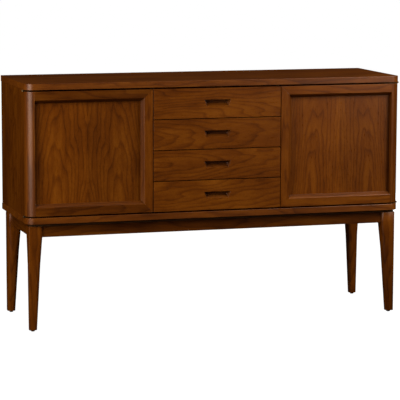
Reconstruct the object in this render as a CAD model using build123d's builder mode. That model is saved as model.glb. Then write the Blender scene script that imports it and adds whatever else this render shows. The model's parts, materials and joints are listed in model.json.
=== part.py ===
from build123d import *
import os

# Walnut sideboard with two hinged doors, four drawers and a four-legged base.
# Millimetres. Origin on the floor, midway between the sides and between front and back.
# +X runs along the width, the front faces -Y, +Z is up. Left means -X.

# ---------------------------------------------------------------- overall sizes
width = 1524.0
depth = 464.0
height = 955.0
base_height = 408.0
spacer_height = 10.0
board_thickness = 24.0
corner_radius = 35.0
board_edge_round = 1.2

# ---------------------------------------------------------------- case
face_inset = 1.5
side_thickness = 20.0
divider_thickness = 20.0
drawer_bay_width = 520.0
back_thickness = 6.0
rabbet_width = 8.5
rabbet_clearance = 0.5
front_tongue_thickness = 8.5

# ---------------------------------------------------------------- doors
reveal = 6.0
front_gap = 3.0
door_thickness = 38.0
door_back_gap = 1.0
outer_stile_width = 35.0
frame_face_width = 33.0
frame_bevel_run = 12.0
frame_bevel_depth = 14.5
panel_recess = 18.0
panel_thickness = 10.0
panel_groove_depth = 8.0
panel_groove_clearance = 0.5
arris = 0.8

# ---------------------------------------------------------------- hinges and catches
pivot_out = 3.5
pivot_before_back = 2.5
knuckle_radius = 4.5
pin_radius = 2.2
pin_clearance = 0.3
leaf_length = 62.0
leaf_width = 12.0
leaf_back_margin = 0.5
washer_radius = 4.0
washer_thickness = 0.7
pin_past_leaves = 1.0
running_gap = 0.3
catch_size = (13.0, 40.0, 16.0)
catch_from_end = 70.0
strike_thickness = 0.7

# ---------------------------------------------------------------- shelves
shelf_thickness = 18.0
shelf_end_clearance = 1.5
shelf_front_setback = 20.0
shelf_back_clearance = 8.0
shelf_pin_radius = 2.5
shelf_pin_hole_clearance = 0.1
shelf_pin_in = 8.0
shelf_pin_out = 9.0
shelf_pin_height = 218.0
shelf_pin_pitch = 32.0
shelf_pin_rows = 5
shelf_pin_from_front = 60.0
shelf_pin_from_back = 50.0

# ---------------------------------------------------------------- drawers
drawer_count = 4
drawer_front_thickness = 22.0
drawer_front_round = 0.8
drawer_side_thickness = 14.0
drawer_back_thickness = 12.0
drawer_bottom_thickness = 6.0
drawer_bottom_up = 10.0
drawer_groove_depth = 6.0
drawer_groove_clearance = 0.2
drawer_box_up = 12.0
drawer_box_down = 15.0
drawer_back_drop = 6.0
drawer_side_gap = 1.5
drawer_back_space = 39.0
runner_height = 16.0
runner_projection = 9.0
runner_back_margin = 5.0
runner_front_setback = 1.5
runner_end_clearance = 0.5
runner_clearance = 0.3
runner_stop_gap = 2.5

# ---------------------------------------------------------------- finger pulls
pull_top_width = 108.0
pull_bottom_width = 90.0
pull_height = 26.0
pull_depth = 15.0
pull_undercut = 5.0
pull_floor_rise = 12.0
pull_end_slope = 5.0

# ---------------------------------------------------------------- base
base_inset = 12.0
leg_top_side = 54.0
leg_foot_side = 31.0
leg_arris = 2.5
leg_top_round = 10.0
leg_waist_round = 20.0
leg_waist_drop = 110.0
leg_foot_round = 12.0
glide_height = 6.0
glide_radius = 7.5
glide_shank_radius = 3.0
glide_shank_length = 20.0
glide_edge_round = 2.0
hole_clearance = 0.2
apron_height = 43.0
apron_thickness = 22.0
apron_setback = 10.0
spacer_width = 30.0
spacer_setback = 4.0
spacer_gap = 3.0
block_reach = 56.0
block_height = 36.0
bolt_radius = 4.0
bolt_in_leg = 24.0
bolt_past_nut = 5.0
nut_radius = 7.5
nut_thickness = 6.5
bolt_washer_radius = 9.0
bolt_washer_thickness = 1.5

# ---------------------------------------------------------------- back screws
screw_head_radius = 3.5
screw_head_thickness = 1.4
screw_shank_radius = 1.6
screw_shank_length = 18.0
screw_rows = 4
screw_end_margin = 50.0

# ---------------------------------------------------------------- levels and planes
top_underside = height - board_thickness
bottom_board_z = base_height + spacer_height
case_bottom = bottom_board_z + board_thickness
case_height = top_underside - case_bottom
case_middle = case_bottom + case_height / 2
face_y = -depth / 2 + face_inset
case_front = face_y + door_thickness + door_back_gap
case_back = depth / 2 - face_inset
back_panel_front = case_back - back_thickness
side_outer = width / 2 - face_inset
side_inner = side_outer - side_thickness
divider_x = drawer_bay_width / 2
divider_outer = divider_x + divider_thickness / 2
divider_inner = divider_x - divider_thickness / 2
front_bottom = case_bottom + reveal
front_top = top_underside - reveal
front_height = front_top - front_bottom
door_inner_edge = divider_x + front_gap / 2
drawer_front_edge = divider_x - front_gap / 2

os.makedirs("parts", exist_ok=True)


def save(piece, name):
    """Label a finished piece and write it as one STEP file."""
    piece.part.label = name
    export_step(piece.part, f"parts/{name}.step")


def save_twin(piece, name):
    """Write the right-hand mirror image of a left-hand piece."""
    with BuildPart() as twin:
        mirror(piece.part, about=Plane.YZ)
    save(twin, name)


# ---------------------------------------------------------------- top and bottom boards
def board(level):
    """A board with rounded front corners, its underside at the given level."""
    with BuildPart() as slab:
        with BuildSketch(Plane.XY.offset(level)):
            Rectangle(width, depth)
            fillet(vertices().group_by(Axis.Y)[0], radius=corner_radius)
        extrude(amount=board_thickness)
        fillet(faces().filter_by(Axis.Z).edges(), radius=board_edge_round)
    return slab


save(board(top_underside), "top_board")
save(board(bottom_board_z), "bottom_board")

# ---------------------------------------------------------------- places shared by shelves, pins and screws
shelf_pin_ys = (case_front + shelf_pin_from_front, back_panel_front - shelf_pin_from_back)
shelf_pin_z = case_bottom + shelf_pin_height
middle_row = (shelf_pin_rows - 1) / 2
shelf_hole_zs = [shelf_pin_z + (row - middle_row) * shelf_pin_pitch for row in range(shelf_pin_rows)]
shelf_hole_radius = shelf_pin_radius + shelf_pin_hole_clearance
screw_step = (case_height - 2 * screw_end_margin) / (screw_rows - 1)
screw_zs = [case_bottom + screw_end_margin + row * screw_step for row in range(screw_rows)]
side_screw_x = side_inner + rabbet_width / 2
screw_hole_radius = screw_shank_radius + hole_clearance / 2


def holes_facing(x, turn):
    """Shelf-pin hole mouths on the face at x, opening towards +X (turn 90) or -X (turn -90)."""
    return [Location((x, y, z), (0, turn, 0)) for y in shelf_pin_ys for z in shelf_hole_zs]


def screw_places(x, y):
    """Screw hole mouths at x on the plane y, opening towards +Y."""
    return [Location((x, y, z), (-90, 0, 0)) for z in screw_zs]


# ---------------------------------------------------------------- side panels
with BuildPart() as left_side:
    with BuildSketch(Plane.XY.offset(case_bottom)):
        with Locations((-side_outer, case_front)):
            Rectangle(side_thickness, case_back - case_front, align=Align.MIN)
        with Locations((-side_inner, case_back)):
            Rectangle(rabbet_width, back_thickness, align=Align.MAX, mode=Mode.SUBTRACT)
    extrude(amount=case_height)
    with Locations(*holes_facing(-side_inner, 90)):
        Hole(shelf_hole_radius, depth=shelf_pin_in + hole_clearance)
    with Locations(*screw_places(-side_screw_x, back_panel_front)):
        Hole(screw_hole_radius, depth=screw_shank_length - back_thickness + hole_clearance)
save(left_side, "left_side")
save_twin(left_side, "right_side")

# ---------------------------------------------------------------- dividers, with a tongue behind the drawer fronts
tongue_front = face_y + drawer_front_thickness + door_back_gap
with BuildPart() as left_divider:
    with BuildSketch(Plane.XY.offset(case_bottom)):
        with Locations((-divider_outer, case_front)):
            Rectangle(divider_thickness, back_panel_front - case_front, align=Align.MIN)
        with Locations((-divider_inner, tongue_front)):
            Rectangle(front_tongue_thickness, case_front - tongue_front, align=(Align.MAX, Align.MIN))
    extrude(amount=case_height)
    with Locations(*holes_facing(-divider_outer, -90)):
        Hole(shelf_hole_radius, depth=shelf_pin_in + hole_clearance)
    with Locations(*screw_places(-divider_x, back_panel_front)):
        Hole(screw_hole_radius, depth=screw_shank_length - back_thickness + hole_clearance)
save(left_divider, "left_divider")
save_twin(left_divider, "right_divider")

# ---------------------------------------------------------------- back panel and its screws
back_half_width = side_inner + rabbet_width - rabbet_clearance
screw_xs = (-side_screw_x, -divider_x, divider_x, side_screw_x)
with BuildPart() as back_panel:
    with BuildSketch(Plane.XY.offset(case_bottom)):
        with Locations((0, back_panel_front)):
            Rectangle(2 * back_half_width, back_thickness, align=(Align.CENTER, Align.MIN))
    extrude(amount=case_height)
    for screw_x in screw_xs:
        with Locations(*screw_places(screw_x, case_back)):
            Hole(screw_hole_radius, depth=back_thickness)
save(back_panel, "back_panel")

with BuildPart() as back_screws:
    for screw_x in screw_xs:
        with Locations(*screw_places(screw_x, case_back)):
            Cylinder(screw_shank_radius, screw_shank_length, align=(Align.CENTER, Align.CENTER, Align.MAX))
            Cylinder(screw_head_radius, screw_head_thickness, align=(Align.CENTER, Align.CENTER, Align.MIN))
save(back_screws, "back_screws")

# ---------------------------------------------------------------- shelves and shelf pins
shelf_width = side_inner - divider_outer - 2 * shelf_end_clearance
shelf_front = case_front + shelf_front_setback
shelf_depth = back_panel_front - shelf_back_clearance - shelf_front
with BuildPart() as left_shelf:
    with BuildSketch(Plane.XY.offset(shelf_pin_z + shelf_pin_radius)):
        with Locations((-side_inner + shelf_end_clearance, shelf_front)):
            Rectangle(shelf_width, shelf_depth, align=Align.MIN)
    extrude(amount=shelf_thickness)
    chamfer(faces().sort_by(Axis.Y)[0].edges().filter_by(Axis.X), length=arris)
save(left_shelf, "left_shelf")
save_twin(left_shelf, "right_shelf")

with BuildPart() as shelf_pins:
    for face_x, turn in ((-side_inner, 90), (-divider_outer, -90)):
        with Locations(*[Location((face_x, y, shelf_pin_z), (0, turn, 0)) for y in shelf_pin_ys]):
            Cylinder(shelf_pin_radius, shelf_pin_in, align=(Align.CENTER, Align.CENTER, Align.MAX))
            Cylinder(shelf_pin_radius, shelf_pin_out, align=(Align.CENTER, Align.CENTER, Align.MIN))
    mirror(about=Plane.YZ)
save(shelf_pins, "shelf_pins")

# ---------------------------------------------------------------- legs
leg_x = -width / 2 + base_inset
leg_y = -depth / 2 + base_inset
leg_taper_top = base_height - apron_height
leg_length = leg_taper_top - glide_height
waist_z = leg_taper_top - leg_waist_drop
waist_side = leg_top_side - (leg_top_side - leg_foot_side) * leg_waist_drop / leg_length
foot_centre = (leg_x + leg_foot_side / 2, leg_y + leg_foot_side / 2)
leg_inner_x = leg_x + leg_top_side
leg_inner_y = leg_y + leg_top_side
bolt_z = base_height - apron_height / 2


def leg_section(level, side, rounding):
    """Square section with a crisp outer corner and three rounded ones."""
    with BuildSketch(Plane.XY.offset(level)) as section:
        with Locations((leg_x, leg_y)):
            Rectangle(side, side, align=Align.MIN)
        outer_first = section.vertices().sort_by_distance((leg_x, leg_y, 0))
        fillet(outer_first[1:], radius=rounding)
        fillet(section.vertices().sort_by_distance((leg_x, leg_y, 0))[0], radius=leg_arris)
    return section.sketch


head_section = leg_section(base_height, leg_top_side, leg_top_round)
shoulder_section = leg_section(leg_taper_top, leg_top_side, leg_top_round)
waist_section = leg_section(waist_z, waist_side, leg_waist_round)
foot_section = leg_section(glide_height, leg_foot_side, leg_foot_round)

# Plan of the corner block: it fills the corner between the aprons behind the leg.
apron_inner_x = -width / 2 + base_inset + apron_setback + apron_thickness
apron_inner_y = -depth / 2 + base_inset + apron_setback + apron_thickness
block_points = [
    (leg_inner_x, apron_inner_y),
    (leg_inner_x + block_reach, apron_inner_y),
    (apron_inner_x, leg_inner_y + block_reach),
    (apron_inner_x, leg_inner_y),
    (leg_inner_x, leg_inner_y),
]
block_face_x = (block_points[1][0] + block_points[2][0]) / 2
block_face_y = (block_points[1][1] + block_points[2][1]) / 2
block_face = Plane(origin=(block_face_x, block_face_y, bolt_z), z_dir=(1, 1, 0))
block_depth = (block_face_x + block_face_y - leg_inner_x - leg_inner_y) / 2**0.5
bolt_depth = block_depth + bolt_in_leg

with BuildPart() as front_left_leg:
    loft([shoulder_section, head_section], ruled=True)
    loft([waist_section, shoulder_section], ruled=True)
    loft([foot_section, waist_section], ruled=True)
    with Locations(Location((foot_centre[0], foot_centre[1], glide_height), (180, 0, 0))):
        Hole(glide_shank_radius + hole_clearance / 2, depth=glide_shank_length + hole_clearance)
    with Locations(block_face):
        Hole(bolt_radius + hole_clearance / 2, depth=bolt_depth + hole_clearance)
save(front_left_leg, "front_left_leg")
save_twin(front_left_leg, "front_right_leg")

with BuildPart() as back_left_leg:
    mirror(front_left_leg.part, about=Plane.XZ)
save(back_left_leg, "back_left_leg")
save_twin(back_left_leg, "back_right_leg")

with BuildPart() as glides:
    with Locations((foot_centre[0], foot_centre[1], glide_height)):
        Cylinder(glide_radius, glide_height, align=(Align.CENTER, Align.CENTER, Align.MAX))
        Cylinder(glide_shank_radius, glide_shank_length, align=(Align.CENTER, Align.CENTER, Align.MIN))
    fillet(faces().sort_by(Axis.Z)[0].edges(), radius=glide_edge_round)
    mirror(about=Plane.YZ)
    mirror(about=Plane.XZ)
save(glides, "glides")

# ---------------------------------------------------------------- aprons
with BuildPart() as front_apron:
    with BuildSketch(Plane.XY.offset(leg_taper_top)):
        with Locations((0, apron_inner_y)):
            Rectangle(-2 * leg_inner_x, apron_thickness, align=(Align.CENTER, Align.MAX))
    extrude(amount=apron_height)
    chamfer(faces().sort_by(Axis.Z)[0].edges().filter_by(Axis.X), length=arris)
save(front_apron, "front_apron")

with BuildPart() as back_apron:
    mirror(front_apron.part, about=Plane.XZ)
save(back_apron, "back_apron")

with BuildPart() as left_apron:
    with BuildSketch(Plane.XY.offset(leg_taper_top)):
        with Locations((apron_inner_x, 0)):
            Rectangle(apron_thickness, -2 * leg_inner_y, align=(Align.MAX, Align.CENTER))
    extrude(amount=apron_height)
    chamfer(faces().sort_by(Axis.Z)[0].edges().filter_by(Axis.Y), length=arris)
save(left_apron, "left_apron")
save_twin(left_apron, "right_apron")

# ---------------------------------------------------------------- corner blocks and leg bolts
with BuildPart() as corner_blocks:
    with BuildSketch(Plane.XY.offset(bolt_z - block_height / 2)):
        with BuildLine():
            Polyline(*block_points, close=True)
        make_face()
    extrude(amount=block_height)
    with Locations(block_face):
        Hole(bolt_radius + hole_clearance / 2, depth=bolt_depth)
    mirror(about=Plane.YZ)
    mirror(about=Plane.XZ)
save(corner_blocks, "corner_blocks")

with BuildPart() as leg_bolts:
    with BuildSketch(block_face):
        Circle(bolt_washer_radius)
    extrude(amount=bolt_washer_thickness)
    with BuildSketch(block_face):
        RegularPolygon(nut_radius, side_count=6)
    extrude(amount=bolt_washer_thickness + nut_thickness)
    with BuildSketch(block_face):
        Circle(bolt_radius)
    extrude(amount=bolt_washer_thickness + nut_thickness + bolt_past_nut)
    with BuildSketch(block_face):
        Circle(bolt_radius)
    extrude(amount=-bolt_depth)
    mirror(about=Plane.YZ)
    mirror(about=Plane.XZ)
save(leg_bolts, "leg_bolts")

# ---------------------------------------------------------------- spacer strips between base and case
spacer_x = width / 2 - base_inset - spacer_setback
spacer_y = depth / 2 - base_inset - spacer_setback
with BuildPart() as base_spacers:
    with BuildSketch(Plane.XY.offset(base_height)):
        with Locations((0, -spacer_y)):
            Rectangle(2 * spacer_x, spacer_width, align=(Align.CENTER, Align.MIN))
        with Locations((-spacer_x, 0)):
            side_run = 2 * (spacer_y - spacer_width - spacer_gap)
            Rectangle(spacer_width, side_run, align=(Align.MIN, Align.CENTER))
    extrude(amount=spacer_height)
    mirror(about=Plane.YZ)
    mirror(about=Plane.XZ)
save(base_spacers, "base_spacers")

# ---------------------------------------------------------------- door frames
frame_width = frame_face_width + frame_bevel_run
stile_inner_edge = -door_inner_edge - frame_width
rail_start = -side_outer + outer_stile_width
groove_back = panel_recess + panel_thickness
stile_least_side = min(outer_stile_width, door_thickness)
door_corner_radius = min(corner_radius - face_inset, stile_least_side - arris)


def frame_profile():
    """Outline of a frame member: u runs in from its outer edge, v back from its face."""
    return [
        (arris, 0),
        (frame_face_width, 0),
        (frame_width, frame_bevel_depth),
        (frame_width, panel_recess),
        (frame_width - panel_groove_depth, panel_recess),
        (frame_width - panel_groove_depth, groove_back),
        (frame_width, groove_back),
        (frame_width, door_thickness),
        (0, door_thickness),
        (0, arris),
    ]


upper_mitre = Plane(origin=(-door_inner_edge, face_y, front_top), z_dir=(-1, 0, 1))
lower_mitre = Plane(origin=(-door_inner_edge, face_y, front_bottom), z_dir=(-1, 0, -1))

with BuildPart() as door_outer_stile:
    with BuildSketch(Plane.XY.offset(front_bottom)) as stile_plan:
        with Locations((-side_outer, face_y)):
            Rectangle(outer_stile_width, door_thickness, align=Align.MIN)
        outer_corner = stile_plan.vertices().sort_by_distance((-side_outer, face_y, 0))[0]
        fillet(outer_corner, radius=door_corner_radius)
        with Locations((rail_start, face_y + panel_recess)):
            Rectangle(panel_groove_depth, panel_thickness, align=(Align.MAX, Align.MIN), mode=Mode.SUBTRACT)
    extrude(amount=front_height)
save(door_outer_stile, "left_door_outer_stile")
save_twin(door_outer_stile, "right_door_outer_stile")

with BuildPart() as door_inner_stile:
    with BuildSketch(Plane.XY.offset(front_bottom)):
        with BuildLine():
            Polyline(*[(-door_inner_edge - u, face_y + v) for u, v in frame_profile()], close=True)
        make_face()
    extrude(amount=front_height)
    split(bisect_by=upper_mitre, keep=Keep.BOTTOM)
    split(bisect_by=lower_mitre, keep=Keep.BOTTOM)
save(door_inner_stile, "left_door_inner_stile")
save_twin(door_inner_stile, "right_door_inner_stile")

rail_length = -door_inner_edge - rail_start
with BuildPart() as door_top_rail:
    with BuildSketch(Plane.YZ.offset(rail_start)):
        with BuildLine():
            Polyline(*[(face_y + v, front_top - u) for u, v in frame_profile()], close=True)
        make_face()
    extrude(amount=rail_length)
    split(bisect_by=upper_mitre, keep=Keep.TOP)
save(door_top_rail, "left_door_top_rail")
save_twin(door_top_rail, "right_door_top_rail")

with BuildPart() as door_bottom_rail:
    with BuildSketch(Plane.YZ.offset(rail_start)):
        with BuildLine():
            Polyline(*[(face_y + v, front_bottom + u) for u, v in frame_profile()], close=True)
        make_face()
    extrude(amount=rail_length)
    split(bisect_by=lower_mitre, keep=Keep.TOP)
save(door_bottom_rail, "left_door_bottom_rail")
save_twin(door_bottom_rail, "right_door_bottom_rail")

panel_tongue = panel_groove_depth - panel_groove_clearance
panel_left = rail_start - panel_tongue
panel_right = stile_inner_edge + panel_tongue
panel_height = front_height - 2 * frame_width + 2 * panel_tongue
with BuildPart() as door_panel:
    with BuildSketch(Plane.XY.offset(front_bottom + frame_width - panel_tongue)):
        with Locations((panel_left, face_y + panel_recess)):
            Rectangle(panel_right - panel_left, panel_thickness, align=Align.MIN)
    extrude(amount=panel_height)
save(door_panel, "left_door_panel")
save_twin(door_panel, "right_door_panel")

# ---------------------------------------------------------------- pivot hinges in the reveals
pivot_x = -side_outer - pivot_out
pivot_y = face_y + door_thickness - pivot_before_back
leaf_back = case_front - door_back_gap - leaf_back_margin
leaf_thickness = (reveal - washer_thickness - running_gap) / 2
pin_length = reveal - leaf_thickness + pin_past_leaves


def leaf_outline(plane):
    """Hinge leaf in plan: a bar along the end of the door with a round eye at the pivot."""
    with BuildSketch(plane) as outline:
        with Locations((pivot_x, pivot_y)):
            Circle(knuckle_radius)
        with Locations((pivot_x, leaf_back)):
            Rectangle(leaf_length, leaf_width, align=(Align.MIN, Align.MAX))
    return outline.sketch


with BuildPart() as hinge_case_leaves:
    extrude(leaf_outline(Plane.XY.offset(top_underside - leaf_thickness)), amount=leaf_thickness)
    with Locations((pivot_x, pivot_y, top_underside - leaf_thickness)):
        Cylinder(washer_radius, washer_thickness, align=(Align.CENTER, Align.CENTER, Align.MAX))
        Cylinder(pin_radius, pin_length, align=(Align.CENTER, Align.CENTER, Align.MAX))
    mirror(about=Plane.XY.offset(case_middle))
    mirror(about=Plane.YZ)
save(hinge_case_leaves, "hinge_case_leaves")

with BuildPart() as door_hinge_leaves:
    extrude(leaf_outline(Plane.XY.offset(front_top)), amount=leaf_thickness)
    with Locations((pivot_x, pivot_y, front_top + leaf_thickness)):
        Hole(pin_radius + pin_clearance, depth=leaf_thickness)
    mirror(about=Plane.XY.offset(case_middle))
save(door_hinge_leaves, "left_door_hinge_leaves")
save_twin(door_hinge_leaves, "right_door_hinge_leaves")

# ---------------------------------------------------------------- magnetic catches and strike plates
strike_back = case_front - door_back_gap + strike_thickness
catch_front = strike_back + running_gap
catch_zs = (front_bottom + catch_from_end, front_top - catch_from_end)
with BuildPart() as magnet_catches:
    with Locations(*[(-divider_outer, catch_front, z) for z in catch_zs]):
        Box(*catch_size, align=(Align.MAX, Align.MIN, Align.CENTER))
    mirror(about=Plane.YZ)
save(magnet_catches, "magnet_catches")

with BuildPart() as door_strikes:
    with Locations(*[(-divider_outer, strike_back, z) for z in catch_zs]):
        Box(catch_size[0], strike_thickness, catch_size[2], align=(Align.MAX, Align.MAX, Align.CENTER))
save(door_strikes, "left_door_strikes")
save_twin(door_strikes, "right_door_strikes")

# ---------------------------------------------------------------- drawers
drawer_front_height = (front_height - (drawer_count - 1) * front_gap) / drawer_count
drawer_pitch = drawer_front_height + front_gap
drawer_box_height = drawer_front_height - drawer_box_up - drawer_box_down
box_front = face_y + drawer_front_thickness
box_back = back_panel_front - drawer_back_space
box_half = divider_inner - drawer_side_gap
box_inner = box_half - drawer_side_thickness
runner_front = case_front + runner_front_setback
runner_back = box_back - runner_back_margin
groove_front = runner_front - runner_stop_gap
runner_up = drawer_box_height / 2 - runner_height / 2
runner_groove_depth = runner_projection - drawer_side_gap + runner_end_clearance


def drawer_bottom_edge(number):
    """Lower edge of a drawer front; drawer 1 is at the top."""
    return front_bottom + (drawer_count - number) * drawer_pitch


def pull_outline(plane, top_width, bottom_width, low, high):
    """Trapezoid of a finger pull, wider at its top edge."""
    with BuildSketch(plane) as outline:
        with BuildLine():
            Polyline(
                (-bottom_width / 2, low),
                (bottom_width / 2, low),
                (top_width / 2, high),
                (-top_width / 2, high),
                close=True,
            )
        make_face()
    return outline.sketch


with BuildPart() as drawer_runners:
    for number in range(1, drawer_count + 1):
        runner_z = drawer_bottom_edge(number) + drawer_box_up + runner_up
        with Locations((-divider_inner, runner_front, runner_z)):
            Box(runner_projection, runner_back - runner_front, runner_height, align=Align.MIN)
    mirror(about=Plane.YZ)
save(drawer_runners, "drawer_runners")

for number in range(1, drawer_count + 1):
    name = f"drawer_{number}"
    front_z = drawer_bottom_edge(number)
    box_z = front_z + drawer_box_up
    bottom_z = box_z + drawer_bottom_up
    bottom_room = drawer_bottom_thickness + drawer_groove_clearance
    pull_z = front_z + drawer_front_height / 2
    pull_low = pull_z - pull_height / 2
    pull_high = pull_z + pull_height / 2
    face_plane = Plane(origin=(0, face_y, 0), x_dir=(1, 0, 0), z_dir=(0, -1, 0))
    pull_mouth = pull_outline(face_plane, pull_top_width, pull_bottom_width, pull_low, pull_high)
    pull_floor = pull_outline(
        face_plane.offset(-pull_depth),
        pull_top_width - 2 * pull_end_slope,
        pull_bottom_width - 2 * pull_end_slope,
        pull_low + pull_floor_rise,
        pull_high + pull_undercut,
    )

    with BuildPart() as drawer_front:
        with BuildSketch(Plane.XY.offset(front_z)):
            with Locations((0, face_y)):
                Rectangle(2 * drawer_front_edge, drawer_front_thickness, align=(Align.CENTER, Align.MIN))
        extrude(amount=drawer_front_height)
        fillet(faces().sort_by(Axis.Y)[0].edges(), radius=drawer_front_round)
        loft([pull_mouth, pull_floor], ruled=True, mode=Mode.SUBTRACT)
        with Locations((0, box_front, bottom_z)):
            groove_align = (Align.CENTER, Align.MAX, Align.MIN)
            groove_width = 2 * (box_inner + drawer_groove_depth)
            Box(groove_width, drawer_groove_depth, bottom_room, align=groove_align, mode=Mode.SUBTRACT)
    save(drawer_front, f"{name}_front")

    with BuildPart() as drawer_side:
        with Locations((-box_half, box_front, box_z)):
            Box(drawer_side_thickness, box_back - box_front, drawer_box_height, align=Align.MIN)
        with Locations((-box_inner, box_front, bottom_z)):
            bottom_align = (Align.MAX, Align.MIN, Align.MIN)
            run = box_back - box_front
            Box(drawer_groove_depth, run, bottom_room, align=bottom_align, mode=Mode.SUBTRACT)
        with Locations((-box_half, groove_front, box_z + runner_up - runner_clearance)):
            groove_run = box_back - groove_front
            groove_high = runner_height + 2 * runner_clearance
            Box(runner_groove_depth, groove_run, groove_high, align=Align.MIN, mode=Mode.SUBTRACT)
    save(drawer_side, f"{name}_left_side")
    save_twin(drawer_side, f"{name}_right_side")

    with BuildPart() as drawer_back:
        with Locations((0, box_back, bottom_z + bottom_room)):
            back_height = drawer_box_height - drawer_bottom_up - bottom_room - drawer_back_drop
            back_align = (Align.CENTER, Align.MAX, Align.MIN)
            Box(2 * box_inner, drawer_back_thickness, back_height, align=back_align)
    save(drawer_back, f"{name}_back")

    with BuildPart() as drawer_bottom:
        with Locations((0, box_front - drawer_groove_depth + drawer_groove_clearance, bottom_z)):
            floor_width = 2 * (box_inner + drawer_groove_depth - drawer_groove_clearance)
            floor_run = box_back - box_front + drawer_groove_depth - drawer_groove_clearance
            floor_align = (Align.CENTER, Align.MIN, Align.MIN)
            Box(floor_width, floor_run, drawer_bottom_thickness, align=floor_align)
    save(drawer_bottom, f"{name}_bottom")
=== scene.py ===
"""Looks of a walnut sideboard: two framed doors, four drawers and a base with tapered legs.

Each piece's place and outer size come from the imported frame, and how it is shaped and finished is said here.
Lengths are metres, +Z is up and the front faces -Y.
"""

import json
import logging
import math
from dataclasses import dataclass, field, replace
from enum import Enum
from typing import Callable, Sequence, TypeVar

import bmesh
import bpy
from bpy.types import Material, Node, NodeSocket, Object, World
from mathutils import Euler, Matrix, Vector

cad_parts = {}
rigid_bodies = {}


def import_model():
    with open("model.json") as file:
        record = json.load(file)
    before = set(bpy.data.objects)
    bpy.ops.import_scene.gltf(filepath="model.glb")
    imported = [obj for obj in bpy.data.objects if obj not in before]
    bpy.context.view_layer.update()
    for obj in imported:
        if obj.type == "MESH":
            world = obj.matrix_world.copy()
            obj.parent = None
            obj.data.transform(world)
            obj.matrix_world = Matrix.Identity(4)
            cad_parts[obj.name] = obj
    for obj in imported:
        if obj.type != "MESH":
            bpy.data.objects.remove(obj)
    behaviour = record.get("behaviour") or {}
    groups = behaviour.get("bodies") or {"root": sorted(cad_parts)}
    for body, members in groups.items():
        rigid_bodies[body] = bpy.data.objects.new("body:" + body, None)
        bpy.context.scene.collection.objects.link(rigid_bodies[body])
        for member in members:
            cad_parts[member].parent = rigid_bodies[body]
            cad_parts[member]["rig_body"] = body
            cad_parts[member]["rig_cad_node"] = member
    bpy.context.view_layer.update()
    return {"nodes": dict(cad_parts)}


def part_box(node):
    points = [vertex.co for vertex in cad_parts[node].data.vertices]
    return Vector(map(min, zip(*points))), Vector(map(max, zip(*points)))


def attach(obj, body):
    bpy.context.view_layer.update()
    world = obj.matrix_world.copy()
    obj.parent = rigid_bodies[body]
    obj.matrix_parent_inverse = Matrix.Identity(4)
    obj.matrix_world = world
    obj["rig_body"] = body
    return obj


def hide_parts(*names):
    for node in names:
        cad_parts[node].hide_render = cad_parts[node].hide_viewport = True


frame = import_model()

logging.basicConfig(level=logging.INFO, format="%(message)s")
logger = logging.getLogger("sideboard")

MM = 0.001
SMOOTH_ANGLE = math.radians(35)
FLAT_ANGLE = math.radians(0.2)
WELD = 0.01 * MM
ALIGNED = 0.999
Colour = tuple[float, float, float]
Stops = Sequence[tuple[float, float | Colour]]
Choice = TypeVar("Choice")


class Element(Enum):
    """The kinds of mesh element that can be picked in edit mode."""

    VERTEX = "VERT"
    EDGE = "EDGE"
    FACE = "FACE"


class Hand(Enum):
    """The two sides of the cabinet, with the sign of their X."""

    LEFT = -1
    RIGHT = 1

    @property
    def word(self) -> str:
        """The word that the node names use."""
        return self.name.lower()

    def either(self, left: Choice, right: Choice) -> Choice:
        """Choose what belongs to this side."""
        return left if self is Hand.LEFT else right


class Grain(Enum):
    """The way the fibres of a wooden piece run."""

    ALONG_X = "x"
    ALONG_Y = "y"
    ALONG_Z = "z"

    def turn(self) -> Matrix:
        """Return the rotation that lays the fibres along Z."""
        quarter = math.pi / 2
        turns = {
            Grain.ALONG_X: Euler((0, -quarter, 0)),
            Grain.ALONG_Y: Euler((quarter, 0, 0)),
            Grain.ALONG_Z: Euler((0, 0, 0)),
        }
        return turns[self].to_matrix()


# ---------------------------------------------------------------- bench tools
def rest_bench() -> None:
    """Leave edit mode and deselect every object."""
    if bpy.context.object and bpy.context.object.mode != "OBJECT":
        bpy.ops.object.mode_set(mode="OBJECT")
    bpy.ops.object.select_all(action="DESELECT")


def take(piece: Object) -> None:
    """Make a piece the only selected object, and the active one.

    Args:
        piece: The object to work on.
    """
    rest_bench()
    piece.select_set(True)
    bpy.context.view_layer.objects.active = piece


def edit(piece: Object, everything: bool = False) -> None:
    """Open a piece in edit mode.

    Args:
        piece: The object to work on.
        everything: Whether all of it is selected.
    """
    take(piece)
    bpy.ops.object.mode_set(mode="EDIT")
    if everything:
        bpy.ops.mesh.select_all(action="SELECT")


def pick(piece: Object, element: Element, test: Callable[..., bool]) -> None:
    """Select the elements of the open piece that pass a test, and nothing else.

    Args:
        piece: The piece that is open in edit mode.
        element: Whether vertices, edges or faces are picked.
        test: Says of one element whether it is picked.
    """
    bpy.ops.mesh.select_mode(type=element.value)
    bpy.ops.mesh.select_all(action="DESELECT")
    mesh = bmesh.from_edit_mesh(piece.data)
    groups = {Element.VERTEX: mesh.verts, Element.EDGE: mesh.edges, Element.FACE: mesh.faces}
    for part in groups[element]:
        if test(part):
            part.select_set(True)
    bmesh.update_edit_mesh(piece.data)


def middle(edge: bmesh.types.BMEdge) -> Vector:
    """Return the middle point of an edge."""
    return (edge.verts[0].co + edge.verts[1].co) / 2


def runs_along(edge: bmesh.types.BMEdge, axis: int) -> bool:
    """Say whether an edge runs along an axis: 0 for X, 1 for Y, 2 for Z."""
    way = (edge.verts[1].co - edge.verts[0].co).normalized()
    return abs(way[axis]) > ALIGNED


def looks_along(face: bmesh.types.BMFace, axis: int, sign: int) -> bool:
    """Say whether a face looks along an axis, forwards for a sign of 1 and backwards for -1."""
    return sign * face.normal[axis] > ALIGNED


def near(value: float, target: float, reach: float = 0.05 * MM) -> bool:
    """Say whether two lengths are the same within a small reach."""
    return abs(value - target) < reach


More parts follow.
